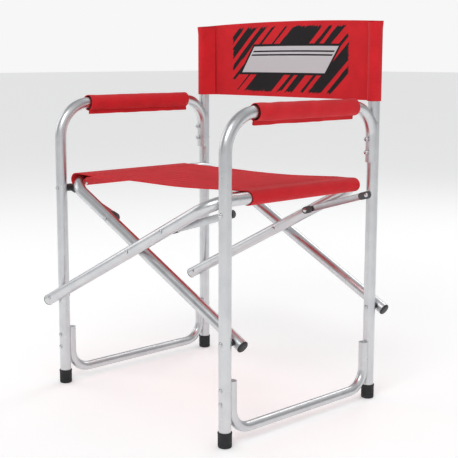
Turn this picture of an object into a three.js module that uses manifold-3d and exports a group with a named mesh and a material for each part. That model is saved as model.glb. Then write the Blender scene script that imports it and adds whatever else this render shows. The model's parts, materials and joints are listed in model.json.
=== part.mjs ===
// A folding director chair in aluminium tube with a fabric seat, back and arm sleeves.
// Millimetres. X runs across the chair, Y from its front (-) to its back (+), and Z up from the floor.
import * as THREE from "three";
import { mergeVertices } from "three/addons/utils/BufferGeometryUtils.js";
import Module from "manifold-3d";

const wasm = await Module();
wasm.setup();

// ---- Driving dimensions ----

const legSpacingX = 520; // between the centres of the left and right legs
const legSpacingY = 417; // from a front leg's centre to its rear post's
const tubeDiameter = 24;
const tubeWall = 1.5;
const postHeight = 785; // top of a rear post's tube

const armHeight = 620; // centre of the arm's tube
const armFrontRadius = 74;
const armRearRadius = 60;
const armDrop = 115; // from the arm's centre down to its end on the post
const armEndForward = 12; // the arm's end lies this far in front of the post's centre, coped to fit it
const armRivetRises = [48, 21]; // above the arm's end

const barDiameter = 20;
const barWall = 1.4;
const barUnderBoot = 4; // the bar's centre lies this far below the rim of a foot, clear of it
const barTopHeight = 125;
const barBendRadius = 45;
const barProud = 5.5; // the bar's ends stand out this far from the leg and the post
const barRivetDrops = [14, 41]; // below the bar's ends

const footWall = 1.2;
const footHeight = 30;
const footSole = 4;
const footChamfer = 2.5;

const lowerPivotHeight = 199;
const crossingHeight = 336;
const railInset = 30; // from the legs' plane in to the seat rail, side to side
const crossBendRadius = 50;
const crossOverhang = 18; // the cross tube runs on past its lower pivot
const tubeGap = 4; // between two tubes that are riveted face to face

const linkPivotHeight = 437.5;
const linkEndX = 100.41; // the link's far pivot on the cross tube, which closes both open and folded
const linkWidth = 14;
const linkDepth = 6;
const linkWall = 1.5;
const linkNearGap = 1.3; // room at the near pivot for the link to lean across its tube
const linkEndGap = 3.6; // room at the far pivot, where the linkage is opened

const rivetDiameter = 5;
const rivetHeadDiameter = 9;
const rivetHeadHeight = 1.8;
const rivetCrown = 0.6; // the flat top of a head, as a share of its width
const rivetShoulder = 0.8; // the height of a head's rounded shoulder, as a share of its own
const rivetHoleRoom = 1; // a rivet's hole is this much wider than the rivet
const rivetHeadGap = 0.5; // under a head, so that a slanting tube can turn beneath it
const spacerDiameter = 16;

const plugLip = 3;
const lipChamfer = 1;
const plugLength = 10;
const capLength = 15;

const fabric = 1.7;
const sleeveClearance = 0.8; // around a tube inside a fabric sleeve
const seatEndGap = 53.5; // from the seat's ends to the legs' and the posts' centres
const seatDip = 10;
const seatSkew = 0.149; // the seat sits further back on the right, by this share of the width
const seatShift = -3; // the seat's middle, front to back
const backHeight = 162;
const backOverPost = 7; // the back's top edge stands this far above the posts' tubes
const backBow = 8;
const padThickness = 4.2;
const padFrontGap = 73.5; // from the leg's centre to the pad
const padBackGap = 63.5; // from the pad to the post's centre

const fit = 0.3; // between two pieces that touch
const tubeSides = 16;
const rivetSides = 8;
const bendSteps = 4;
const linkEndSteps = 8;
const slingSpans = 8;

// ---- Worked out from them ----

const legX = legSpacingX / 2;
const legY = legSpacingY / 2;
const railX = legX - railInset;
const tubeRadius = tubeDiameter / 2;
const tubeBore = tubeRadius - tubeWall;
const armEndHeight = armHeight - armDrop;
const armRivetHeights = armRivetRises.map((rise) => armEndHeight + rise);
const barHeight = footHeight - barUnderBoot;
const barInset = tubeRadius + barProud - barDiameter / 2; // from the leg's centre to the bar's end
const barRivetHeights = barRivetDrops.map((drop) => barTopHeight - drop);
const footDiameter = tubeDiameter + 2 * (fit + footWall);
const rivetHoleDiameter = rivetDiameter + rivetHoleRoom;
const seatLength = legSpacingY - 2 * seatEndGap;
const backTop = postHeight + backOverPost;
const backBottom = backTop - backHeight;
const padDiameter = tubeDiameter + 2 * (sleeveClearance + padThickness);
const lowerShift = tubeDiameter + tubeGap; // a cross tube's offset from the legs at its lower pivot
const crossingShift = lowerShift / 2;
const crossRise = (crossingHeight - lowerPivotHeight) / legX;
const crossYaw = (lowerShift - crossingShift) / legX; // the cross tubes slant towards the legs' plane
const linkEndHeight = crossingHeight + linkEndX * crossRise;
const railHeight = crossingHeight + railX * crossRise;

// ---- Materials ----

function finish(color, roughness, metalness) {
  return new THREE.MeshStandardMaterial({ color, roughness, metalness });
}

const aluminium = finish("#c9ccd0", 0.35, 1);
const rivetMetal = finish("#b9bcc0", 0.3, 1);
const blackRubber = finish("#17171a", 0.8, 0);
const blackPlastic = finish("#1d1d20", 0.5, 0);
const redFabric = finish("#c8141c", 0.85, 0);

// ---- Solids ----

const vector = (x, y, z) => new THREE.Vector3(x, y, z);

// A closed geometry as a manifold-3d solid.
function solid(geometry) {
  const plain = geometry.clone();
  plain.deleteAttribute("normal");
  plain.deleteAttribute("uv");
  const merged = mergeVertices(plain, 1e-4);
  return new wasm.Manifold(
    new wasm.Mesh({
      numProp: 3,
      vertProperties: merged.attributes.position.array,
      triVerts: new Uint32Array(merged.index.array),
    }),
  );
}

function geometryOf(made) {
  const mesh = made.getMesh();
  const geometry = new THREE.BufferGeometry();
  geometry.setAttribute("position", new THREE.BufferAttribute(mesh.vertProperties, 3));
  geometry.setIndex(new THREE.BufferAttribute(mesh.triVerts, 1));
  return geometry;
}

const cutAll = (body, cutters) => cutters.reduce((rest, cutter) => rest.subtract(cutter), body);

// A line through the given corners with a round bend at each inner one.
// Its stations are the ends and the bends' steps, so a straight stretch has no rings in it.
class BentPath extends THREE.Curve {
  constructor(corners, radii) {
    super();
    this.stations = [];
    corners.forEach((corner, i) => {
      const into = i > 0 ? corner.clone().sub(corners[i - 1]).normalize() : null;
      const out = i < corners.length - 1 ? corners[i + 1].clone().sub(corner).normalize() : null;
      if (!into || !out) {
        this.stations.push({ point: corner, tangent: into || out });
        return;
      }
      const turn = into.angleTo(out);
      const radius = radii[i - 1];
      const start = corner.clone().addScaledVector(into, -radius * Math.tan(turn / 2));
      const inward = out.clone().addScaledVector(into, -out.dot(into)).normalize();
      for (let step = 0; step <= bendSteps; step++) {
        const angle = (turn * step) / bendSteps;
        const point = start.clone().addScaledVector(into, radius * Math.sin(angle));
        point.addScaledVector(inward, radius * (1 - Math.cos(angle)));
        const tangent = into.clone().multiplyScalar(Math.cos(angle));
        tangent.addScaledVector(inward, Math.sin(angle));
        this.stations.push({ point, tangent });
      }
    });
  }
  get steps() {
    return this.stations.length - 1;
  }
  station(share) {
    return this.stations[Math.round(share * this.steps)];
  }
  getPointAt(share, target = vector(0, 0, 0)) {
    return target.copy(this.station(share).point);
  }
  getTangentAt(share, target = vector(0, 0, 0)) {
    return target.copy(this.station(share).tangent);
  }
}

function circle(radius, sides = tubeSides) {
  const corner = (i) => {
    const angle = (2 * Math.PI * i) / sides;
    return new THREE.Vector2(radius * Math.cos(angle), radius * Math.sin(angle));
  };
  return Array.from({ length: sides }, (_, i) => corner(i));
}

function tube(path, radius, bore = 0, sides = tubeSides) {
  const section = new THREE.Shape(circle(radius, sides));
  if (bore) section.holes.push(new THREE.Path(circle(bore, sides)));
  const extruded = new THREE.ExtrudeGeometry(section, {
    steps: path.steps,
    extrudePath: path,
    bevelEnabled: false,
  });
  return solid(extruded);
}

const straight = (from, to) => new BentPath([from, to], []);

// A round bar along Y.
const rod = (radius, x, fromY, toY, z, sides = tubeSides) =>
  tube(straight(vector(x, fromY, z), vector(x, toY, z)), radius, 0, sides);

const rivetHole = (x, y, z) =>
  rod(rivetHoleDiameter / 2, x, y - 2 * tubeRadius, y + 2 * tubeRadius, z, rivetSides);

// A turned piece about Z, from its profile of [radius, height] pairs, lowest first.
function turned(profile, sides = tubeSides) {
  const points = profile.map(([radius, height]) => new THREE.Vector2(radius, height));
  return solid(new THREE.LatheGeometry(points, sides).rotateX(Math.PI / 2));
}

// ---- The object ----

const chair = new THREE.Group();

function add(name, material, made) {
  const mesh = new THREE.Mesh(geometryOf(made), material);
  mesh.name = name;
  chair.add(mesh);
}

// A rivet along Y through faces at nearY and farY. A flush one has no head at its far end.
function rivet(name, x, nearY, farY, z, flush = false) {
  const length = Math.abs(farY - nearY) + (flush ? 0 : 2 * rivetHeadGap);
  const shank = rivetDiameter / 2;
  const head = rivetHeadDiameter / 2;
  const nearHead = [
    [0, -rivetHeadHeight],
    [head * rivetCrown, -rivetHeadHeight * rivetShoulder],
    [head, 0],
    [shank, 0],
  ];
  const farHead = nearHead.map(([radius, height]) => [radius, length - height]).reverse();
  const farEnd = [
    [shank, length],
    [0, length],
  ];
  const direction = Math.sign(farY - nearY);
  const placed = geometryOf(turned([...nearHead, ...(flush ? farEnd : farHead)], rivetSides))
    .rotateX((-direction * Math.PI) / 2)
    .translate(x, nearY - direction * (flush ? 0 : rivetHeadGap), z);
  add(name, rivetMetal, solid(placed));
}

// The cross tube that starts at the lower left pivot, and its twin turned half a circle about Z.
// crossShiftAt says how far it stands off the legs' plane at a given x.
const crossShiftAt = (x) => -(crossingShift - crossYaw * x);
const crossPoint = (x, y) => vector(x, y + crossShiftAt(x), crossingHeight + x * crossRise);
const overhangX = crossOverhang / Math.hypot(1, crossRise);
const crossStart = -legX - overhangX;
const crossCorners = [
  crossPoint(crossStart, -legY),
  crossPoint(railX, -legY),
  crossPoint(railX, legY),
  crossPoint(crossStart, legY),
];
const halfTurn = (point) => vector(-point.x, -point.y, point.z);
const crossRadii = [crossBendRadius, crossBendRadius];
const crossPaths = {
  a: new BentPath(crossCorners, crossRadii),
  b: new BentPath(crossCorners.map(halfTurn), crossRadii),
};

// Which way each cross tube runs: its lower end's side and the side it stands off the legs.
const crossFrames = [
  { letter: "a", side: -1 },
  { letter: "b", side: 1 },
];

// Centre of a cross tube's leg, x towards its rail from the middle and negative below the crossing.
function crossCentre(side, y, x) {
  const point = crossPoint(x, -side * y);
  return side < 0 ? point : halfTurn(point);
}

const rows = [
  { place: "front", y: -legY },
  { place: "rear", y: legY },
];

for (const { letter, side } of crossFrames) {
  const holes = [];
  for (const { y } of rows) {
    for (const x of [-legX, 0, linkEndX]) {
      const centre = crossCentre(side, y, x);
      holes.push(rivetHole(centre.x, centre.y, centre.z));
    }
  }
  const body = tube(crossPaths[letter], tubeRadius, tubeBore);
  add("cross_tube_" + letter, aluminium, cutAll(body, holes));

  for (const { place, y } of rows) {
    const end = crossCentre(side, y, crossStart);
    const inwards = crossCentre(side, y, 0).sub(end).normalize();
    const plug = turned([
      [0, -plugLip - fit],
      [tubeRadius - lipChamfer, -plugLip - fit],
      [tubeRadius, -plugLip + lipChamfer - fit],
      [tubeRadius, -fit],
      [tubeBore - fit, -fit],
      [tubeBore - fit, plugLength],
      [0, plugLength],
    ]);
    const turn = new THREE.Quaternion().setFromUnitVectors(vector(0, 0, 1), inwards);
    const placed = geometryOf(plug).applyQuaternion(turn).translate(end.x, end.y, end.z);
    add(`cross_tube_${letter}_${place}_plug`, blackPlastic, solid(placed));

    const far = crossCentre(side, y, linkEndX);
    const outwards = place === "front" ? -1 : 1;
    const linkSide = place === "front" ? 1 : -1;
    // The link lies behind the front tubes and in front of the rear ones.
    const headFace = far.y - linkSide * tubeRadius;
    const linkFace = far.y + linkSide * tubeRadius;
    const head = headFace + outwards * rivetHeadGap;
    const farEnd = linkFace - linkSide * rivetHeadGap;
    rivet(`cross_tube_${letter}_${place}_link_rivet`, far.x, head, farEnd, far.z, true);
  }
}

for (const { place, y } of rows) {
  const near = crossCentre(-1, y, 0).y - tubeRadius;
  const far = crossCentre(1, y, 0).y + tubeRadius;
  rivet(`crossing_${place}_rivet`, 0, near, far, crossingHeight);
  const half = tubeGap / 2 - rivetHeadGap;
  const washer = rod(spacerDiameter / 2, 0, y - half, y + half, crossingHeight);
  add(`crossing_${place}_washer`, blackPlastic, washer.subtract(rivetHole(0, y, crossingHeight)));
}

const sides = [
  { name: "left", side: -1 },
  { name: "right", side: 1 },
];

for (const { name, side } of sides) {
  const x = side * legX;
  const armEndY = legY - armEndForward;
  const barY = legY - barInset;
  const legFoot = footSole + fit;

  const armPath = new BentPath(
    [
      vector(x, -legY, legFoot),
      vector(x, -legY, armHeight),
      vector(x, armEndY, armHeight),
      vector(x, armEndY, armEndHeight),
    ],
    [armFrontRadius, armRearRadius],
  );
  const postPath = straight(vector(x, legY, legFoot), vector(x, legY, postHeight));
  const postRoom = tube(straight(vector(x, legY, -1), vector(x, legY, postHeight)), tubeRadius + fit);
  const legRoom = tube(straight(vector(x, -legY, -1), vector(x, -legY, armHeight / 2)), tubeRadius + fit);
  const holesAt = (y, heights) => heights.map((z) => rivetHole(x, y, z));

  const legHoles = holesAt(-legY, [...barRivetHeights, lowerPivotHeight, linkPivotHeight]);
  const armHoles = holesAt(armEndY, armRivetHeights);
  const armTube = tube(armPath, tubeRadius, tubeBore);
  add(name + "_leg_and_arm_tube", aluminium, cutAll(armTube, [postRoom, ...legHoles, ...armHoles]));

  const postHeights = [...barRivetHeights, lowerPivotHeight, linkPivotHeight, ...armRivetHeights];
  const postTube = tube(postPath, tubeRadius, tubeBore);
  add(name + "_rear_post", aluminium, cutAll(postTube, holesAt(legY, postHeights)));

  const barPath = new BentPath(
    [
      vector(x, -barY, barTopHeight),
      vector(x, -barY, barHeight),
      vector(x, barY, barHeight),
      vector(x, barY, barTopHeight),
    ],
    [barBendRadius, barBendRadius],
  );
  const barHoles = [...holesAt(-barY, barRivetHeights), ...holesAt(barY, barRivetHeights)];
  const barTube = tube(barPath, barDiameter / 2, barDiameter / 2 - barWall);
  add(name + "_floor_bar", aluminium, cutAll(barTube, [legRoom, postRoom, ...barHoles]));

  for (const { place, y } of rows) {
    const foot = turned([
      [0, 0],
      [footDiameter / 2 - footChamfer, 0],
      [footDiameter / 2, footChamfer],
      [footDiameter / 2, footHeight],
      [tubeRadius + fit, footHeight],
      [tubeRadius + fit, footSole],
      [0, footSole],
    ]);
    add(`${name}_${place}_foot`, blackRubber, foot.translate([x, y, 0]));
  }

  const cap = turned([
    [0, -capLength],
    [tubeBore - fit, -capLength],
    [tubeBore - fit, fit],
    [tubeRadius, fit],
    [tubeRadius, plugLip - lipChamfer],
    [tubeRadius - lipChamfer, plugLip],
    [0, plugLip],
  ]);
  add(name + "_post_cap", blackPlastic, cap.translate([x, legY, postHeight]));

  const pad = rod(padDiameter / 2, x, padFrontGap - legY, legY - padBackGap, armHeight);
  add(name + "_arm_pad", redFabric, pad.subtract(tube(armPath, tubeRadius + sleeveClearance)));

  armRivetHeights.forEach((z, i) => {
    rivet(`${name}_arm_rivet_${i + 1}`, x, armEndY - tubeRadius, legY + tubeRadius, z);
  });
  barRivetHeights.forEach((z, i) => {
    const barFace = barY - barDiameter / 2;
    rivet(`${name}_bar_front_rivet_${i + 1}`, x, -legY - tubeRadius, -barFace, z);
    rivet(`${name}_bar_rear_rivet_${i + 1}`, x, barFace, legY + tubeRadius, z);
  });

  for (const { place, y } of rows) {
    // The left side's cross tube stands in front of its leg, and the right side's behind it.
    const crossY = y + side * lowerShift;
    const faces = [y, crossY].sort((a, b) => a - b);
    rivet(`${name}_${place}_lower_pivot`, x, faces[0] - tubeRadius, faces[1] + tubeRadius, lowerPivotHeight);
    const tangent = crossY - side * (tubeRadius + rivetHeadGap);
    const spacer = rod(spacerDiameter / 2, x, Math.min(y, tangent), Math.max(y, tangent), lowerPivotHeight);
    const leg = tube(straight(vector(x, y, 0), vector(x, y, armHeight / 2)), tubeRadius + fit);
    const cut = cutAll(spacer, [leg, rivetHole(x, y, lowerPivotHeight)]);
    add(`${name}_${place}_lower_spacer`, blackPlastic, cut);
  }

  for (const { place, y } of rows) {
    const inwards = place === "front" ? 1 : -1; // from the leg towards the chair's middle
    const legFace = y + inwards * (tubeRadius + linkNearGap);
    // The cross tube that rises towards this side carries the link's far end.
    const far = crossCentre(-side, y, linkEndX);
    const farFace = far.y + inwards * (tubeRadius + linkEndGap);
    const spaced = name === "left" && place === "front";
    const nearFace = spaced ? farFace : legFace;
    const start = vector(x, nearFace, linkPivotHeight);
    const end = vector(far.x, farFace, linkEndHeight);
    const along = vector(end.x - start.x, 0, end.z - start.z);
    const length = along.length();
    along.normalize();
    const depthwise = vector(0, inwards, 0);
    const across = depthwise.clone().cross(along);

    const slab = (radius, from, to) => {
      const outline = new THREE.Shape();
      outline.absarc(0, 0, radius, Math.PI / 2, (3 * Math.PI) / 2, false);
      outline.absarc(length, 0, radius, -Math.PI / 2, Math.PI / 2, false);
      const settings = { depth: to - from, bevelEnabled: false, curveSegments: linkEndSteps };
      return solid(new THREE.ExtrudeGeometry(outline, settings).translate(0, 0, from));
    };
    const holePath = straight(vector(0, 0, -linkDepth), vector(0, 0, linkDepth));
    const hole = tube(holePath, rivetHoleDiameter / 2, 0, rivetSides);
    const channel = slab(linkWidth / 2, 0, linkDepth);
    const cut = cutAll(channel, [slab(linkWidth / 2 - linkWall, linkWall, 2 * linkDepth), hole]);
    // Both ends stay parallel to the tubes they lie on while the link steps across between them.
    const step = (inwards * (farFace - nearFace)) / length;
    const lean = new THREE.Matrix4().set(1, 0, 0, 0, 0, 1, 0, 0, step, 0, 1, 0, 0, 0, 0, 1);
    const frame = new THREE.Matrix4().makeBasis(along, across, depthwise).setPosition(start);
    const placed = geometryOf(cut).applyMatrix4(lean).applyMatrix4(frame);
    add(`${name}_${place}_link`, aluminium, solid(placed));

    const headFace = y - inwards * tubeRadius;
    const channelFloor = nearFace + inwards * (linkWall + 2 * fit);
    rivet(`${name}_${place}_upper_pivot`, x, headFace, channelFloor, linkPivotHeight);

    if (spaced) {
      const spacerEnd = nearFace - inwards * fit;
      const spacer = rod(spacerDiameter / 2, x, y, spacerEnd, linkPivotHeight);
      const legPath = straight(vector(x, y, armHeight / 2), vector(x, y, armHeight - armFrontRadius));
      const leg = tube(legPath, tubeRadius + fit);
      const spacerHole = rod(rivetHoleDiameter / 2, x, y, nearFace, linkPivotHeight, rivetSides);
      const made = cutAll(spacer, [leg, spacerHole]);
      add(`${name}_${place}_upper_spacer`, blackPlastic, made);
    }
  }
}

// ---- Fabric ----

// A strip between two sleeves: an outline in its own X and Y, extruded along Z.
function sling(halfWidth, sleeveRadius, dip, from, to) {
  const depthAt = (x) => sleeveRadius - dip * (1 - (x / halfWidth) ** 2);
  const xs = Array.from({ length: slingSpans + 1 }, (_, i) => -halfWidth + (2 * halfWidth * i) / slingSpans);
  const outer = xs.map((x) => new THREE.Vector2(x, depthAt(x)));
  const inner = xs.map((x) => new THREE.Vector2(x, depthAt(x) - fabric)).reverse();
  const extrude = (points) => {
    const settings = { depth: to - from, bevelEnabled: false };
    return solid(new THREE.ExtrudeGeometry(new THREE.Shape(points), settings).translate(0, 0, from));
  };
  const sleeve = (x) => extrude(circle(sleeveRadius).map((p) => p.add(new THREE.Vector2(x, 0))));
  return extrude([...outer.reverse(), ...inner.reverse()]).add(sleeve(-halfWidth)).add(sleeve(halfWidth));
}

const sleeveRadius = tubeRadius + sleeveClearance + fabric;

// The seat's own Z runs from back to front, so its dip faces the floor.
const seatLean = new THREE.Matrix4().set(1, 0, 0, 0, seatSkew, 1, 0, 0, 0, 0, 1, 0, 0, 0, 0, 1);
const seatPlaced = geometryOf(sling(railX, sleeveRadius, seatDip, -seatLength / 2, seatLength / 2))
  .rotateX(Math.PI / 2)
  .applyMatrix4(seatLean)
  .translate(0, seatShift, railHeight);
const rails = Object.values(crossPaths).map((path) => tube(path, tubeRadius + sleeveClearance));
add("seat_sling", redFabric, cutAll(solid(seatPlaced), rails));

const backPlaced = geometryOf(sling(legX, sleeveRadius, -backBow, backBottom, backTop)).translate(0, legY, 0);
const postRooms = sides.map(({ side }) => {
  const x = side * legX;
  return tube(straight(vector(x, legY, 0), vector(x, legY, 2 * postHeight)), tubeRadius + sleeveClearance);
});
add("back_sling", redFabric, cutAll(solid(backPlaced), postRooms));

export default chair;
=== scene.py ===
# A folding director chair: smooth tubes, rivets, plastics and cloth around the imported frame.
import json
from math import cos, pi, radians, sin

import bmesh
import bpy
from mathutils import Matrix, Vector, noise


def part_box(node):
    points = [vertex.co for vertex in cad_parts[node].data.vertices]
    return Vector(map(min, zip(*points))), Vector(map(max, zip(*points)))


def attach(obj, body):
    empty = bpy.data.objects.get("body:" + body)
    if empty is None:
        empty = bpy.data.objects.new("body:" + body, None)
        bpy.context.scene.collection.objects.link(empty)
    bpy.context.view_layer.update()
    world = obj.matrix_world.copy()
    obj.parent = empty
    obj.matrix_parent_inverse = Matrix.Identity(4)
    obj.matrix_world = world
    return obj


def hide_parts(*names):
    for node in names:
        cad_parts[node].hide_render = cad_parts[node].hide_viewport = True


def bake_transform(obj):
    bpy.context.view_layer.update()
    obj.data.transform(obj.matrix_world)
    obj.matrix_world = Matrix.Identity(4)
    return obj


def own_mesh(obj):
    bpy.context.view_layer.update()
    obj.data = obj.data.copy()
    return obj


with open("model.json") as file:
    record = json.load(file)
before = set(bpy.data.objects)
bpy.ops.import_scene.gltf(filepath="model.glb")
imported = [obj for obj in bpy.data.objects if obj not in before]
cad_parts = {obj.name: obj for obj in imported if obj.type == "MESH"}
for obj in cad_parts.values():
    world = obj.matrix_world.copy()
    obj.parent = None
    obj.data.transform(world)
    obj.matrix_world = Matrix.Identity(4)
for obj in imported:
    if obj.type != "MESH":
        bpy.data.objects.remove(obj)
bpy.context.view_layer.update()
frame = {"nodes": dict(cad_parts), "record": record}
bodyNodes = frame["record"]["behaviour"]["bodies"]
nodeBody = {node: body for body, nodes in bodyNodes.items() for node in nodes}
sideSigns = {"left": -1, "right": 1}
placeSigns = {"front": -1, "rear": 1}

# Places, from the frame.


def middle(node):
    low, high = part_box(node)
    return (low + high) / 2


tubes = {
    "radius": 0.012, "sides": 40, "bendSteps": 12, "barRadius": 0.01, "barBend": 0.045,
    "armFrontBend": 0.074, "armRearBend": 0.06, "crossBend": 0.05, "overhang": 0.018,
    "standOff": 0.028, "crossingStandOff": 0.014, "skin": 0.0002, "bottom": 0.0043, "underRivet": 0.021,
}
tubeRadius = tubes["radius"]
legX = middle("right_front_foot").x
legY = middle("right_rear_foot").y
lowerPivot = middle("right_front_lower_pivot")
crossing = middle("crossing_front_rivet")
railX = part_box("cross_tube_a")[1].x - tubeRadius
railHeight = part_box("cross_tube_a")[1].z - tubeRadius
armHeight = middle("right_arm_pad").z
armEndY = middle("right_arm_rivet_1").y

# Materials.


def newMaterial(name, values):
    material = bpy.data.materials.new(name)
    material.use_nodes = True
    shader = material.node_tree.nodes["Principled BSDF"]
    for socket, value in values.items():
        shader.inputs[socket].default_value = value
    return material, material.node_tree, shader


def addNode(tree, kind, values=None, links=None, **settings):
    made = tree.nodes.new(kind)
    for key, value in settings.items():
        setattr(made, key, value)
    for socket, value in (values or {}).items():
        made.inputs[socket].default_value = value
    for socket, source in (links or {}).items():
        tree.links.new(source, made.inputs[socket])
    return made


def mathOf(tree, operation, *values):
    made = addNode(tree, "ShaderNodeMath", operation=operation)
    for index, value in enumerate(values):
        if isinstance(value, bpy.types.NodeSocket):
            tree.links.new(value, made.inputs[index])
        else:
            made.inputs[index].default_value = value
    return made.outputs[0]


def mixOf(tree, share, first, second):
    made = addNode(tree, "ShaderNodeMix", data_type="RGBA")
    for socket, value in ((made.inputs[0], share), (made.inputs[6], first), (made.inputs[7], second)):
        if isinstance(value, bpy.types.NodeSocket):
            tree.links.new(value, socket)
        else:
            socket.default_value = (*value, 1)
    return made.outputs[2]


def noiseOf(tree, vector, scale, stretch=(1, 1, 1)):
    mapped = addNode(tree, "ShaderNodeMapping", {"Scale": stretch}, {"Vector": vector})
    values = {"Scale": scale, "Detail": 3.0}
    return addNode(tree, "ShaderNodeTexNoise", values, {"Vector": mapped.outputs[0]}).outputs["Fac"]


def spreadOf(tree, source, low, high):
    values = {"From Min": 0.3, "From Max": 0.7, "To Min": low, "To Max": high}
    return addNode(tree, "ShaderNodeMapRange", values, {"Value": source}).outputs[0]


def bumpInto(tree, shader, height, distance, strength):
    values = {"Strength": strength, "Distance": distance}
    bump = addNode(tree, "ShaderNodeBump", values, {"Height": height})
    tree.links.new(bump.outputs[0], shader.inputs["Normal"])


# A hard finish: patches of two tones, with their own roughness, and a fine grain.
def hardFinish(name, values, tones, roughness, grain, depth):
    material, tree, shader = newMaterial(name, values)
    place = addNode(tree, "ShaderNodeTexCoord").outputs["Object"]
    patches = noiseOf(tree, place, 26)
    share = spreadOf(tree, patches, 0, 1)
    tree.links.new(mixOf(tree, share, *tones), shader.inputs["Base Color"])
    tree.links.new(spreadOf(tree, noiseOf(tree, place, 70), *roughness), shader.inputs["Roughness"])
    bumpInto(tree, shader, noiseOf(tree, place, grain), depth, 0.15)
    return material


metal = {"Metallic": 1.0, "Specular IOR Level": 0.5}
hardPlastic = {"Specular IOR Level": 0.4}
softFoam = {"Specular IOR Level": 0.1}
# Each finish: its two tones, the range of its roughness, and its grain's scale and depth.
tubeTones = ((0.6, 0.61, 0.63), (0.68, 0.69, 0.7))
channelTones = ((0.54, 0.55, 0.57), (0.66, 0.67, 0.68))
rivetTones = ((0.52, 0.53, 0.55), (0.68, 0.69, 0.7))
rubberTones = ((0.012, 0.012, 0.014), (0.03, 0.03, 0.032))
plasticTones = ((0.016, 0.016, 0.018), (0.03, 0.03, 0.033))
foamTones = ((0.008, 0.008, 0.009), (0.02, 0.02, 0.022))
aluminium = hardFinish("anodisedAluminium", metal, tubeTones, (0.27, 0.37), 700, 0.00004)
channelMetal = hardFinish("pressedAluminium", metal, channelTones, (0.3, 0.45), 600, 0.0001)
rivetMetal = hardFinish("rivetHeads", metal, rivetTones, (0.2, 0.34), 500, 0.00008)
rubber = hardFinish("footRubber", hardPlastic, rubberTones, (0.6, 0.8), 420, 0.0002)
plastic = hardFinish("blackPlastic", hardPlastic, plasticTones, (0.4, 0.55), 700, 0.0001)
foamBlack = hardFinish("foamLining", softFoam, foamTones, (0.9, 1.0), 350, 0.0006)

weave = {"pitch": 0.0017, "depth": 0.0003, "red": (0.7, 0.012, 0.02), "deepRed": (0.52, 0.008, 0.014)}
brush = {
    "slant": radians(42), "halfWidth": 0.178, "halfHeight": 0.072, "rag": 0.022, "strokeRag": 0.3,
    "black": (0.012, 0.012, 0.014),
    # Each stroke's place across the slant and its half width.
    "strokes": [
        (0.15, 0.006), (0.128, 0.01), (0.104, 0.006), (0.084, 0.004), (0.058, 0.003), (0.014, 0.03),
        (-0.032, 0.005), (-0.052, 0.008), (-0.078, 0.004), (-0.104, 0.014), (-0.132, 0.006),
    ],
}
plate = {
    "width": 0.128, "height": 0.028, "slant": 0.7, "border": 1.18, "silver": (0.62, 0.63, 0.65),
    # Two lines, as shares of the plate's height, with their half width and how far they run.
    "lines": (0.34, 0.62), "lineWidth": 0.06, "lineReach": 0.86,
}


# Diagonal dry-brush strokes and a plain slanted plate, on cloth whose UV map is in metres from its centre.
def printOn(tree, uv, across, along, red):
    lean, climb = cos(brush["slant"]), sin(brush["slant"])
    slanted = [
        mathOf(tree, "ADD", mathOf(tree, "MULTIPLY", across, c), mathOf(tree, "MULTIPLY", along, s))
        for c, s in ((lean, climb), (-climb, lean))
    ]
    turned = addNode(tree, "ShaderNodeCombineXYZ", links={"X": slanted[0], "Y": slanted[1]}).outputs[0]
    streak = noiseOf(tree, turned, 1, (9, 330, 1))
    rough = mathOf(tree, "MULTIPLY", mathOf(tree, "SUBTRACT", streak, 0.4), brush["rag"])
    edge = mathOf(tree, "MULTIPLY", rough, brush["strokeRag"])
    inked = 0.0
    for place, half in brush["strokes"]:
        off = mathOf(tree, "ABSOLUTE", mathOf(tree, "SUBTRACT", slanted[1], place))
        stroke = mathOf(tree, "LESS_THAN", mathOf(tree, "ADD", off, edge), half)
        inked = mathOf(tree, "MAXIMUM", inked, stroke)
    for distance, limit in ((across, brush["halfWidth"]), (along, brush["halfHeight"])):
        near = mathOf(tree, "ADD", mathOf(tree, "ABSOLUTE", distance), mathOf(tree, "ABSOLUTE", rough))
        inked = mathOf(tree, "MULTIPLY", inked, mathOf(tree, "LESS_THAN", near, limit))
    leaned = mathOf(tree, "SUBTRACT", across, mathOf(tree, "MULTIPLY", along, plate["slant"]))
    shares = [
        mathOf(tree, "DIVIDE", mathOf(tree, "ABSOLUTE", value), size)
        for value, size in ((leaned, plate["width"]), (along, plate["height"]))
    ]
    # The border is as wide on the short edges as on the long ones.
    ends = mathOf(tree, "ADD", mathOf(tree, "MULTIPLY", mathOf(tree, "SUBTRACT", shares[0], 1), 4), 1)
    reach = mathOf(tree, "MAXIMUM", ends, shares[1])
    colour = mixOf(tree, inked, red, brush["black"])
    colour = mixOf(tree, mathOf(tree, "LESS_THAN", reach, plate["border"]), colour, brush["black"])
    colour = mixOf(tree, mathOf(tree, "LESS_THAN", reach, 1), colour, plate["silver"])
    height = mathOf(tree, "DIVIDE", along, plate["height"])
    for place in plate["lines"]:
        line = mathOf(tree, "COMPARE", height, place, plate["lineWidth"])
        line = mathOf(tree, "MULTIPLY", line, mathOf(tree, "LESS_THAN", reach, plate["lineReach"]))
        colour = mixOf(tree, line, colour, brush["black"])
    return colour


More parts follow.
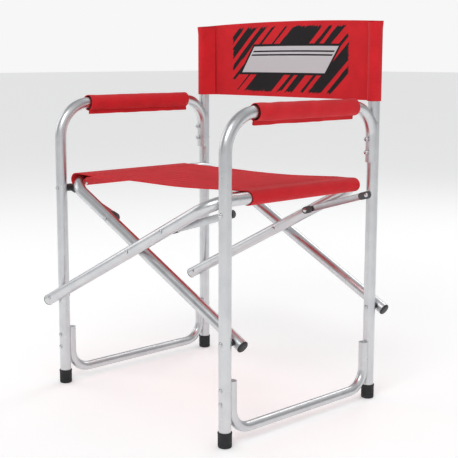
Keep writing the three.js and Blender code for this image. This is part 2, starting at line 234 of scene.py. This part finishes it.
def clothFinish(name, printed=False):
    values = {"Sheen Weight": 0.12, "Sheen Roughness": 0.4, "Specular IOR Level": 0.25}
    material, tree, shader = newMaterial(name, values)
    uv = addNode(tree, "ShaderNodeUVMap", uv_map="cloth").outputs[0]
    parts = addNode(tree, "ShaderNodeSeparateXYZ", links={"Vector": uv}).outputs
    turn = 2 * pi / weave["pitch"]
    ribs = [mathOf(tree, "SINE", mathOf(tree, "MULTIPLY", part, turn)) for part in (parts[0], parts[1])]
    threads = mathOf(tree, "MULTIPLY", *ribs)
    slubs = noiseOf(tree, uv, 1, (60, 1400, 1))
    height = mathOf(tree, "ADD", threads, slubs)
    worn = spreadOf(tree, noiseOf(tree, uv, 22), 0, 0.7)
    red = mixOf(tree, worn, weave["red"], weave["deepRed"])
    red = mixOf(tree, spreadOf(tree, slubs, 0, 0.35), red, (0.82, 0.04, 0.05))
    if printed:
        red = printOn(tree, uv, parts[0], parts[1], red)
    tree.links.new(red, shader.inputs["Base Color"])
    tree.links.new(spreadOf(tree, slubs, 0.75, 0.95), shader.inputs["Roughness"])
    bumpInto(tree, shader, height, weave["depth"], 0.5)
    return material


redCloth = clothFinish("redCloth")
printedCloth = clothFinish("printedCloth", printed=True)
threadTones = ((0.58, 0.01, 0.018), (0.7, 0.02, 0.03))
threadRed = hardFinish("sewingThread", {"Specular IOR Level": 0.3}, threadTones, (0.6, 0.8), 900, 0.0001)
shoeTones = ((0.05, 0.051, 0.054), (0.085, 0.086, 0.09))
shoePlastic = hardFinish("greyShoePlastic", hardPlastic, shoeTones, (0.55, 0.7), 700, 0.0001)
print("materials made")

# Shared ways to make a piece.


def finishPiece(name, mesh, material, body=None, replaced=(), sharp=38):
    data = bpy.data.meshes.new(name)
    mesh.to_mesh(data)
    mesh.free()
    for polygon in data.polygons:
        polygon.use_smooth = True
    data.set_sharp_from_angle(angle=radians(sharp))
    data.materials.append(material)
    piece = bpy.data.objects.new(name, data)
    bpy.context.scene.collection.objects.link(piece)
    if body:
        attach(piece, body)
    if replaced:
        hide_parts(*replaced)
    return piece


def pushOff(mesh, x, y, radius):
    for vert in mesh.verts:
        away = vert.co.xy - Vector((x, y))
        if away.length < radius:
            away = away.normalized() * radius
            vert.co.x = x + away.x
            vert.co.y = y + away.y


def edgesWithin(mesh, verts):
    kept = set(verts)
    return [edge for edge in mesh.edges if edge.verts[0] in kept and edge.verts[1] in kept]


# A closed round bar along straight runs, with a round bend at each inner corner.
def sweepTube(corners, bends, radius):
    mesh = bmesh.new()
    heading = (corners[1] - corners[0]).normalized()
    place = Matrix.Translation(corners[0]) @ heading.to_track_quat("Z", "Y").to_matrix().to_4x4()
    ring = bmesh.ops.create_circle(mesh, segments=tubes["sides"], radius=radius, matrix=place)["verts"]
    position = corners[0].copy()
    for index, corner in enumerate(corners[1:]):
        inner = index < len(bends)
        onward = (corners[index + 2] - corner).normalized() if inner else heading
        turn = heading.angle(onward)
        reach = bends[index] * sin(turn / 2) / cos(turn / 2) if inner else 0
        straightEnd = corner - heading * reach
        grown = bmesh.ops.extrude_edge_only(mesh, edges=edgesWithin(mesh, ring))["geom"]
        ring = [part for part in grown if isinstance(part, bmesh.types.BMVert)]
        bmesh.ops.translate(mesh, verts=ring, vec=straightEnd - position)
        position = straightEnd
        if not inner:
            break
        axis = heading.cross(onward).normalized()
        pivot = straightEnd + axis.cross(heading) * bends[index]
        spun = bmesh.ops.spin(
            mesh, geom=ring + edgesWithin(mesh, ring), cent=pivot, axis=axis, dvec=(0, 0, 0),
            angle=turn, steps=tubes["bendSteps"], use_merge=False, use_duplicate=False,
        )
        ring = [part for part in spun["geom_last"] if isinstance(part, bmesh.types.BMVert)]
        position = corner + onward * reach
        heading = onward
    bmesh.ops.holes_fill(mesh, edges=[edge for edge in mesh.edges if edge.is_boundary], sides=0)
    bmesh.ops.recalc_face_normals(mesh, faces=mesh.faces)
    return mesh


# A turned shape about Z, from its outline of (radius, height) pairs that starts and ends on the axis.
def turnedShape(outline, steps=40):
    mesh = bmesh.new()
    verts = [mesh.verts.new((radius, 0, height)) for radius, height in outline]
    edges = [mesh.edges.new(pair) for pair in zip(verts, verts[1:])]
    bmesh.ops.spin(
        mesh, geom=verts + edges, cent=(0, 0, 0), axis=(0, 0, 1), dvec=(0, 0, 0),
        angle=2 * pi, steps=steps, use_merge=True, use_duplicate=False,
    )
    bmesh.ops.remove_doubles(mesh, verts=mesh.verts, dist=1e-6)
    bmesh.ops.recalc_face_normals(mesh, faces=mesh.faces)
    return mesh


def placeShape(mesh, place, heading):
    matrix = Matrix.Translation(place) @ Vector(heading).to_track_quat("Z", "Y").to_matrix().to_4x4()
    bmesh.ops.transform(mesh, matrix=matrix, verts=mesh.verts)
    return mesh


# Side frames: leg and arm in one tube, post and floor bar.

for side, sign in sideSigns.items():
    body = side + "_side_frame"
    x = sign * legX
    armEnd = middle(side + "_arm_rivet_2").z - tubes["underRivet"]
    armCorners = [
        Vector((x, -legY, tubes["bottom"])), Vector((x, -legY, armHeight)),
        Vector((x, armEndY, armHeight)), Vector((x, armEndY, armEnd)),
    ]
    arm = sweepTube(armCorners, [tubes["armFrontBend"], tubes["armRearBend"]], tubeRadius)
    pushOff(arm, x, legY, tubeRadius + tubes["skin"])
    replaced = [side + "_leg_and_arm_tube"]
    finishPiece(side + "_leg_and_arm", arm, aluminium, body, replaced)

    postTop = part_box(side + "_rear_post")[1].z
    post = sweepTube([Vector((x, legY, tubes["bottom"])), Vector((x, legY, postTop))], [], tubeRadius)
    finishPiece(side + "_post", post, aluminium, body, [side + "_rear_post"])

    barLow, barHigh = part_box(side + "_floor_bar")
    barY = barHigh.y - tubes["barRadius"]
    barZ = barLow.z + tubes["barRadius"]
    barCorners = [
        Vector((x, -barY, barHigh.z)), Vector((x, -barY, barZ)),
        Vector((x, barY, barZ)), Vector((x, barY, barHigh.z)),
    ]
    bar = sweepTube(barCorners, [tubes["barBend"]] * 2, tubes["barRadius"])
    for place in placeSigns.values():
        pushOff(bar, x, place * legY, tubeRadius + tubes["skin"])
    finishPiece(side + "_bar", bar, aluminium, body, [side + "_floor_bar"])

# Cross tubes: b is a, turned half a circle about Z.

rise = (crossing.z - lowerPivot.z) / legX
slant = (tubes["standOff"] - tubes["crossingStandOff"]) / legX


def crossPoint(letter, x, plane):
    turned = 1 if letter == "a" else -1
    local = Vector((x, turned * plane - tubes["crossingStandOff"] + slant * x, crossing.z + rise * x))
    return Vector((turned * local.x, turned * local.y, local.z))


plugs = {"radius": 0.0121, "cover": 0.0008, "lip": 0.0033}
crossStart = -legX - tubes["overhang"] / Vector((1, rise)).length
for letter in "ab":
    corners = [
        crossPoint(letter, crossStart, -legY), crossPoint(letter, railX, -legY),
        crossPoint(letter, railX, legY), crossPoint(letter, crossStart, legY),
    ]
    mesh = sweepTube(corners, [tubes["crossBend"]] * 2, tubeRadius)
    node = "cross_tube_" + letter
    finishPiece("cross_frame_tube_" + letter, mesh, aluminium, nodeBody[node], [node])
    for place, sign in placeSigns.items():
        end = crossPoint(letter, crossStart, sign * legY)
        inwards = (crossPoint(letter, 0, sign * legY) - end).normalized()
        outer, cover, lip = plugs["radius"], plugs["cover"], plugs["lip"]
        outline = [(0, -lip), (outer - 0.003, -lip), (outer - 0.001, -lip + 0.0006), (outer, -lip + 0.0018)]
        outline += [(outer, cover - 0.0005), (outer - 0.0006, cover), (0, cover)]
        plug = placeShape(turnedShape(outline), end, inwards)
        plugNode = f"cross_tube_{letter}_{place}_plug"
        body = nodeBody[plugNode]
        finishPiece(f"cross_plug_{letter}_{place}", plug, plastic, body, [plugNode])
print("tubes made")

# Feet, post caps, spacers and washers.

# Outlines of a boot with a groove round it and a collar, and of a cap, from the bottom up.
foot = [
    (0, 0), (0.0106, 0), (0.0128, 0.001), (0.0135, 0.003), (0.0135, 0.0075), (0.013, 0.0081),
    (0.013, 0.0091), (0.0135, 0.0097), (0.0135, 0.0262), (0.0139, 0.027), (0.0139, 0.0292),
    (0.0134, 0.03), (0.0122, 0.03), (0.0122, 0.0042), (0, 0.0042),
]
cap = [
    (0, 0.0002), (0.0119, 0.0002), (0.0122, 0.0006), (0.0121, 0.0016), (0.0112, 0.0026), (0.009, 0.003),
    (0, 0.0031),
]
for side in sideSigns:
    for place in placeSigns:
        node = f"{side}_{place}_foot"
        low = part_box(node)[0]
        shape = placeShape(turnedShape(foot), Vector((middle(node).x, middle(node).y, low.z)), (0, 0, 1))
        finishPiece(node + "_boot", shape, rubber, nodeBody[node], [node])
    node = side + "_post_cap"
    top = Vector((middle(node).x, middle(node).y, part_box(side + "_rear_post")[1].z))
    dome = placeShape(turnedShape(cap), top, (0, 0, 1))
    finishPiece(node + "_dome", dome, plastic, nodeBody[node], [node])


# A round piece along Y with softened rims, in the room that its node holds.
def roundAlongY(node, rim):
    low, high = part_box(node)
    radius = (high.x - low.x) / 2
    length = high.y - low.y
    outline = [(0, 0), (radius - rim, 0), (radius, rim)]
    outline += [(radius, length - rim), (radius - rim, length), (0, length)]
    return placeShape(turnedShape(outline), Vector((middle(node).x, low.y, middle(node).z)), (0, 1, 0))


spacerRim = 0.0006
spacers = [node for node in frame["nodes"] if node.endswith(("_spacer", "_washer"))]
for node in sorted(spacers):
    finishPiece(node + "_ring", roundAlongY(node, spacerRim), plastic, nodeBody[node], [node])

rivets = {"headRadius": 0.0047, "headHeight": 0.0022, "proud": 0.0002, "shank": 0.0025, "inset": 0.002}


def domedHead(steps=5):
    outline = [(0, 0)]
    for step in range(steps + 1):
        angle = pi / 2 * step / steps
        outline.append((rivets["headRadius"] * cos(angle), rivets["headHeight"] * sin(angle)))
    outline[-1] = (0, rivets["headHeight"])
    return turnedShape(outline, 24)


def joinInto(mesh, other):
    data = bpy.data.meshes.new("joined")
    other.to_mesh(data)
    other.free()
    mesh.from_mesh(data)
    bpy.data.meshes.remove(data)


for node in sorted(frame["nodes"]):
    if not ("rivet" in node or node.endswith("_pivot")):
        continue
    low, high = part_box(node)
    x, z = middle(node).x, middle(node).z
    flush = node.endswith("link_rivet")
    mesh = bmesh.new()
    for end, heading in ((low.y, -1), (high.y, 1)):
        if flush and (end > 0) != (heading > 0):
            continue
        base = end - heading * (rivets["headHeight"] - rivets["proud"])
        joinInto(mesh, placeShape(domedHead(), Vector((x, base, z)), (0, heading, 0)))
    length = high.y - low.y - 2 * rivets["inset"]
    shank = [(0, 0), (rivets["shank"], 0), (rivets["shank"], length), (0, length)]
    joinInto(mesh, placeShape(turnedShape(shank, 16), Vector((x, low.y + rivets["inset"], z)), (0, 1, 0)))
    finishPiece(node + "_domed", mesh, rivetMetal, nodeBody[node], [node])
print("small hard pieces made")

# Links: open channels with moulded ends, from each leg to the cross tube that rises towards it.

links = {
    "radius": 0.007, "depth": 0.006, "wall": 0.0013, "nearGap": 0.0013, "farGap": 0.0036,
    "shoeRadius": 0.0077, "shoeDepth": 0.0068, "shoeRun": 0.013, "shoeBack": 0.0004, "headSunk": 0.0005,
    "channelEdge": 0.00035, "shoeEdge": 0.0007, "sides": 32,
}


def stadium(run, radius, depth):
    mesh = bmesh.new()
    bmesh.ops.create_circle(mesh, cap_ends=True, segments=links["sides"], radius=radius)
    forward = [vert for vert in mesh.verts if vert.co.x > 0]
    bmesh.ops.translate(mesh, verts=forward, vec=(run, 0, 0))
    grown = bmesh.ops.extrude_face_region(mesh, geom=mesh.faces[:])["geom"]
    top = [part for part in grown if isinstance(part, bmesh.types.BMFace)]
    bmesh.ops.translate(mesh, verts=top[0].verts[:], vec=(0, 0, depth))
    return mesh, top[0]


def softenEdges(mesh, offset):
    bmesh.ops.recalc_face_normals(mesh, faces=mesh.faces)
    hard = [edge for edge in mesh.edges if edge.is_manifold and edge.calc_face_angle() > radians(50)]
    bmesh.ops.bevel(
        mesh, geom=hard, offset=offset, offset_type="OFFSET", segments=2, profile=0.5, affect="EDGES",
        material=-1,
    )


for side, sign in sideSigns.items():
    letter = "a" if side == "right" else "b"
    for place, placeSign in placeSigns.items():
        node = f"{side}_{place}_link"
        inwards = -placeSign
        near = middle(f"{side}_{place}_upper_pivot")
        farRivet = middle(f"cross_tube_{letter}_{place}_link_rivet")
        cross = crossPoint(letter, abs(farRivet.x), placeSign * legY)
        nearFace = placeSign * legY + inwards * (tubeRadius + links["nearGap"])
        farFace = cross.y + inwards * (tubeRadius + links["farGap"])
        if side + place == "leftfront":
            nearFace = farFace
        start = Vector((near.x, nearFace, near.z))
        reach = Vector((farRivet.x - near.x, 0, farRivet.z - near.z))
        along = reach.normalized()
        depthwise = Vector((0, inwards, 0))
        across = depthwise.cross(along)
        lean = inwards * (farFace - nearFace) / reach.length
        turn = Matrix((along, across, depthwise)).transposed().to_4x4()

        def putOnLink(mesh):
            for vert in mesh.verts:
                vert.co.z += lean * vert.co.x
            bmesh.ops.transform(mesh, matrix=Matrix.Translation(start) @ turn, verts=mesh.verts)
            bmesh.ops.recalc_face_normals(mesh, faces=mesh.faces)
            return mesh

        channel, rim = stadium(reach.length, links["radius"], links["depth"])
        bmesh.ops.inset_region(channel, faces=[rim], thickness=links["wall"], use_even_offset=True)
        floor = bmesh.ops.extrude_face_region(channel, geom=[rim])["geom"]
        sunk = [part for part in floor if isinstance(part, bmesh.types.BMVert)]
        bmesh.ops.translate(channel, verts=sunk, vec=(0, 0, links["wall"] - links["depth"]))
        if rim.is_valid:
            bmesh.ops.delete(channel, geom=[rim], context="FACES_ONLY")
        softenEdges(channel, links["channelEdge"])
        body = nodeBody[node]
        finishPiece(node + "_channel", putOnLink(channel), channelMetal, body, [node])

        for name, offset, turned in (("near", 0, 1), ("far", reach.length, -1)):
            shoe, rim = stadium(links["shoeRun"], links["shoeRadius"], links["shoeDepth"])
            bmesh.ops.scale(shoe, vec=(turned, 1, 1), verts=shoe.verts)
            bmesh.ops.translate(shoe, verts=shoe.verts, vec=(offset, 0, -links["shoeBack"]))
            softenEdges(shoe, links["shoeEdge"])
            finishPiece(f"{node}_{name}_shoe", putOnLink(shoe), shoePlastic, body)
            top = links["shoeDepth"] - links["headSunk"]
            head = placeShape(domedHead(), Vector((offset, 0, top)), (0, 0, 1))
            finishPiece(f"{node}_{name}_head", putOnLink(head), rivetMetal, body)
print("links made")

# Cloth: each piece is cut flat, in metres, and laid over its tubes.


def ease(low, high, value):
    share = max(0, min(1, (value - low) / (high - low)))
    return share * share * (3 - 2 * share)


# A sheet cut to its spans across and along, laid by a formula and given its thickness.
def clothPiece(name, across, along, cuts, lay, thickness, material, reverse=None):
    mesh = bmesh.new()
    uvLayer = mesh.loops.layers.uv.new("cloth")
    size = Matrix.Diagonal((across[1] - across[0], along[1] - along[0], 1, 1))
    centre = Vector(((across[0] + across[1]) / 2, (along[0] + along[1]) / 2, 0))
    place = Matrix.Translation(centre) @ size
    bmesh.ops.create_grid(mesh, x_segments=cuts[0], y_segments=cuts[1], size=0.5, matrix=place)
    for face in mesh.faces:
        for loop in face.loops:
            loop[uvLayer].uv = loop.vert.co.xy
    for vert in mesh.verts:
        vert.co = lay(vert.co.x, vert.co.y)
    piece = finishPiece(name, mesh, material, sharp=70)
    solidify = piece.modifiers.new("thickness", "SOLIDIFY")
    solidify.thickness = thickness
    solidify.offset = 0
    if reverse:
        piece.data.materials.append(reverse)
        solidify.material_offset = 1
    bpy.context.view_layer.update()
    shown = piece.evaluated_get(bpy.context.evaluated_depsgraph_get())
    thick = bpy.data.meshes.new_from_object(shown)
    thick.set_sharp_from_angle(angle=radians(60))
    piece.modifiers.clear()
    piece.data = thick
    return piece


stitches = {
    "half": 0.00045, "pitch": 0.0036, "starts": 0.12, "ends": 0.85, "lift": 0.0007, "sideLift": 0.0008,
}


# A row of sewn stitches that lie along the points.
def stitchRow(name, points):
    mesh = bmesh.new()
    for here, there in zip(points[::2], points[1::2]):
        reach = there - here
        size = Matrix.Diagonal((stitches["half"], stitches["half"], reach.length / 2, 1))
        turn = reach.to_track_quat("Z", "Y").to_matrix().to_4x4()
        place = Matrix.Translation((here + there) / 2) @ turn @ size
        bmesh.ops.create_uvsphere(mesh, u_segments=6, v_segments=4, radius=1, matrix=place)
    return finishPiece(name, mesh, threadRed, sharp=80)


def rowPoints(lay, across, low, high, lift):
    count = round((high - low) / stitches["pitch"])
    spots = []
    for index in range(count):
        for share in (stitches["starts"], stitches["ends"]):
            spots.append(lay(across, low + (high - low) * (index + share) / count) + Vector(lift))
    return spots


seat = {
    "half": 0.155, "shift": -0.003, "skew": 0.149, "dip": 0.0055, "radius": 0.0137, "tuck": radians(38),
    "flap": 0.0335, "thickness": 0.0014, "ripple": 0.0013, "ripplePitch": 0.024, "rippleBend": 2.2,
    "rough": 0.0022, "edgePull": 0.03, "flapDrop": 0.002, "seam": railX - 0.0385, "seamGap": 0.006,
    "hem": 0.007, "rowEnd": 0.003, "blendFrom": 0.215,
}
seatWrap = seat["radius"] * (pi + seat["tuck"])
seatHalf = railX + seatWrap + seat["flap"]


def laySeat(across, along):
    side = 1 if across > 0 else -1
    run = abs(across)
    radius = seat["radius"]
    if run <= railX:
        share = 1 - (run / railX) ** 2
        bend = seat["rippleBend"] * noise.noise(Vector((across * 7, along * 5, 3)))
        wave = sin(2 * pi * along / seat["ripplePitch"] + bend)
        rough = seat["rough"] * noise.noise(Vector((across * 6, along * 9, 8)))
        height = radius - seat["dip"] * share + (seat["ripple"] * wave + rough) * ease(0, 0.35, share)
        x = run
        along *= 1 - seat["edgePull"] * share
    elif run <= railX + seatWrap:
        angle = pi / 2 - (run - railX) / radius
        x, height = railX + radius * cos(angle), radius * sin(angle)
    else:
        angle = -pi / 2 - seat["tuck"]
        over = run - railX - seatWrap
        x = railX + radius * cos(angle) + over * sin(angle)
        height = radius * sin(angle) - over * cos(angle)
        height -= seat["flapDrop"] * ease(0.1, seat["half"], abs(along)) * over / seat["flap"]
    return Vector((side * x, along + seat["shift"] + seat["skew"] * side * x, railHeight + height))


seatCloth = clothPiece(
    "seat_cloth", (-seatHalf, seatHalf), (-seat["half"], seat["half"]), (190, 96), laySeat,
    seat["thickness"], redCloth,
)
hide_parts("seat_sling")
seatPieces = [seatCloth]
rowEnd = seat["half"] - seat["rowEnd"]
for name, sign in sideSigns.items():
    for row, offset in (("outer", 0), ("inner", seat["seamGap"])):
        points = rowPoints(laySeat, sign * (seat["seam"] - offset), -rowEnd, rowEnd, (0, 0, stitches["lift"]))
        seatPieces.append(stitchRow(f"seat_{name}_{row}_stitches", points))
for name, sign in placeSigns.items():
    hemPlace = sign * (seat["half"] - seat["hem"])
    points = rowPoints(lambda y, x: laySeat(x, y), hemPlace, -railX, railX, (0, 0, stitches["lift"]))
    seatPieces.append(stitchRow(f"seat_{name}_hem_stitches", points))
for piece in seatPieces:
    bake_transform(piece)
print("seat made")

backLow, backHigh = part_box("back_sling")
back = {
    "half": (backHigh.z - backLow.z) / 2, "bow": 0.0075, "radius": 0.0137, "tuck": radians(52),
    "flap": 0.0262, "thickness": 0.0014, "seam": 0.232, "drop": 0.0035, "crown": 0.006, "rough": 0.003,
    "flare": 0.0016, "flareRun": 0.02, "keep": 0.238, "hem": 0.007, "rowEnd": 0.003, "frontRow": 0.0035,
    "rearRow": 0.003,
}
backMiddle = (backHigh.z + backLow.z) / 2
backWrap = back["radius"] * (pi + back["tuck"])
backHalf = legX + backWrap + back["flap"]


def layBack(across, along):
    side = 1 if across > 0 else -1
    run = abs(across)
    top = ease(-back["half"], back["half"], along)
    flare = ease(0.75, 1, along / back["half"]) * ease(legX, legX + back["flareRun"], run)
    radius = back["radius"] + back["flare"] * flare
    if run <= legX:
        share = 1 - (run / legX) ** 2
        rough = back["rough"] * noise.noise(Vector((across * 5, along * 7, 1))) * ease(0, 0.3, share)
        x, y = run, radius + back["bow"] * share + rough
    elif run <= legX + backWrap:
        angle = (run - legX) / back["radius"]
        x, y = legX + radius * sin(angle), radius * cos(angle)
    else:
        angle = pi + back["tuck"]
        over = run - legX - backWrap
        x = legX + radius * sin(angle) + over * cos(angle)
        y = radius * cos(angle) - over * sin(angle)
    drop = back["drop"] * ease(legX, legX + backWrap, run) * top
    crown = back["crown"] * (1 - min(1, run / legX) ** 2) * top
    return Vector((side * x, legY + y, backMiddle + along - drop + crown))


panel = clothPiece(
    "back_panel", (-back["seam"], back["seam"]), (-back["half"], back["half"]), (120, 48), layBack,
    back["thickness"], printedCloth, reverse=redCloth,
)
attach(panel, "left_side_frame")
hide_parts("back_sling")
folding = [panel]
hemPlace = back["half"] - back["hem"]
for name, along in (("top", hemPlace), ("bottom", -hemPlace)):
    lift = (0, -stitches["lift"], 0)
    points = rowPoints(lambda z, x: layBack(x, z), along, -back["seam"], back["seam"], lift)
    hem = stitchRow(f"back_{name}_hem_stitches", points)
    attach(hem, "left_side_frame")
    folding.append(hem)
for piece in folding:
    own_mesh(piece)
for side, sign in sideSigns.items():
    span = (back["seam"], backHalf) if sign > 0 else (-backHalf, -back["seam"])
    sleeve = clothPiece(
        f"back_{side}_sleeve", span, (-back["half"], back["half"]), (64, 48), layBack,
        back["thickness"], redCloth,
    )
    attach(sleeve, side + "_side_frame")
    rowEnd = back["half"] - back["rowEnd"]
    rows = {
        "front": (sign * (backHalf - back["frontRow"]), -stitches["sideLift"]),
        "rear": (sign * (back["seam"] + back["rearRow"]), stitches["sideLift"]),
    }
    for row, (across, lift) in rows.items():
        points = rowPoints(layBack, across, -rowEnd, rowEnd, (0, lift, 0))
        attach(stitchRow(f"back_{side}_{row}_stitches", points), side + "_side_frame")
print("back made")

arms = {
    "radius": 0.0163, "wrap": radians(176), "flap": 0.0085, "tilt": radians(14), "thickness": 0.0014,
    "foamOuter": 0.0152, "foamInner": 0.0122, "recess": 0.004, "crease": 0.0009, "frill": 0.0012,
    "fray": 0.0022, "sink": 0.0004, "seamDrop": 0.0022, "rowEnd": 0.004,
}
armWrap = arms["radius"] * arms["wrap"]
armHalf = armWrap + arms["flap"]
for side, sign in sideSigns.items():
    body = side + "_side_frame"
    padLow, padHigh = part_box(side + "_arm_pad")
    centre = middle(side + "_arm_pad")
    half = (padHigh.y - padLow.y) / 2

    def layArm(across, along, sign=sign, centre=centre, half=half):
        lean = 1 if across > 0 else -1
        run = abs(across)
        angle = min(run, armWrap) / arms["radius"]
        crease = arms["crease"] * noise.noise(Vector((across * 28 + along * 34, along * 16, sign * 5)))
        radius = arms["radius"] + crease
        x, z = lean * radius * sin(angle), radius * cos(angle)
        if run > armWrap:
            z -= run - armWrap
            x += arms["frill"] * sin(along * 42 + sign) * (run - armWrap) / arms["flap"]
        turn = sign * arms["tilt"]
        fray = noise.noise(Vector((across * 40, sign * 9, 2))) * ease(0.9, 1, abs(along) / half)
        edge = arms["fray"] * fray
        place = Vector((x * cos(turn) + z * sin(turn), along + edge, z * cos(turn) - x * sin(turn)))
        return place + centre - Vector((0, 0, arms["sink"]))

    sleeve = clothPiece(
        side + "_arm_sleeve", (-armHalf, armHalf), (-half, half), (72, 90), layArm,
        arms["thickness"], redCloth,
    )
    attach(sleeve, body)
    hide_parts(side + "_arm_pad")
    for row, lean in (("outer", 1), ("inner", -1)):
        lift = (lean * stitches["sideLift"] * cos(arms["tilt"]), 0, 0)
        rowEnd = half - arms["rowEnd"]
        points = rowPoints(layArm, lean * (armWrap + arms["seamDrop"]), -rowEnd, rowEnd, lift)
        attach(stitchRow(f"{side}_arm_{row}_stitches", points), body)
    inner, outer = arms["foamInner"], arms["foamOuter"]
    length = 2 * half - 2 * arms["recess"]
    foam = turnedShape([(inner, 0), (outer, 0), (outer, length), (inner, length), (inner, 0)])
    placeShape(foam, centre - Vector((0, half - arms["recess"], 0)), (0, 1, 0))
    lining = finishPiece(side + "_arm_foam", foam, foamBlack, body)
print("arm sleeves made")

# Camera, floor and lights.

camera = {
    "azimuth": radians(47.55), "elevation": radians(8.5), "distance": 2.1552, "target": Vector((0, 0, 0.4)),
    "lens": 79.53, "shiftX": 0.0345, "shiftY": -0.0449,
}
towards = Vector((
    sin(camera["azimuth"]) * cos(camera["elevation"]),
    -cos(camera["azimuth"]) * cos(camera["elevation"]),
    sin(camera["elevation"]),
))
cameraData = bpy.data.cameras.new("camera")
cameraData.lens = camera["lens"]
cameraData.sensor_width = 36
cameraData.shift_x = camera["shiftX"]
cameraData.shift_y = camera["shiftY"]
cameraObject = bpy.data.objects.new("camera", cameraData)
cameraObject.location = camera["target"] + towards * camera["distance"]
cameraObject.rotation_euler = (-towards).to_track_quat("-Z", "Y").to_euler()
bpy.context.scene.collection.objects.link(cameraObject)
bpy.context.scene.camera = cameraObject

floorMesh = bmesh.new()
bmesh.ops.create_grid(floorMesh, x_segments=1, y_segments=1, size=40)
floorData = bpy.data.meshes.new("floor")
floorMesh.to_mesh(floorData)
floorMesh.free()
paleFloor = newMaterial("paleFloor", {
    "Base Color": (0.9, 0.9, 0.9, 1), "Roughness": 0.9,
    "Emission Color": (1, 1, 1, 1), "Emission Strength": 0.27,
})[0]
floorData.materials.append(paleFloor)
floorObject = bpy.data.objects.new("floor", floorData)
bpy.context.scene.collection.objects.link(floorObject)

lights = {
    "key": {"place": (1.2, -2.4, 2.8), "size": 1.4, "power": 34},
    "fill": {"place": (-2.6, -1.0, 1.6), "size": 1.8, "power": 12},
    "back": {"place": (-0.6, 2.6, 2.4), "size": 1.6, "power": 16},
}
for name, light in lights.items():
    data = bpy.data.lights.new(name, "AREA")
    data.energy = light["power"]
    data.size = light["size"]
    lamp = bpy.data.objects.new(name, data)
    lamp.location = light["place"]
    lamp.rotation_euler = (camera["target"] - Vector(light["place"])).to_track_quat("-Z", "Y").to_euler()
    bpy.context.scene.collection.objects.link(lamp)

world = bpy.data.worlds.new("studio")
world.use_nodes = True
bpy.context.scene.world = world
background = world.node_tree.nodes["Background"]
studio = {"pale": (0.9, 0.9, 0.9), "dark": (0.16, 0.165, 0.17), "seen": (0.93, 0.93, 0.93)}
tree = world.node_tree
direction = addNode(tree, "ShaderNodeTexCoord").outputs["Generated"]
flags = spreadOf(tree, noiseOf(tree, direction, 1.9, (1, 1, 0.3)), 0, 1)
lit = mixOf(tree, flags, studio["dark"], studio["pale"])
isSeen = addNode(tree, "ShaderNodeLightPath").outputs["Is Camera Ray"]
tree.links.new(mixOf(tree, isSeen, lit, studio["seen"]), background.inputs["Color"])
background.inputs["Strength"].default_value = 1.0
bpy.context.scene.view_settings.view_transform = "Standard"
print("stage made")
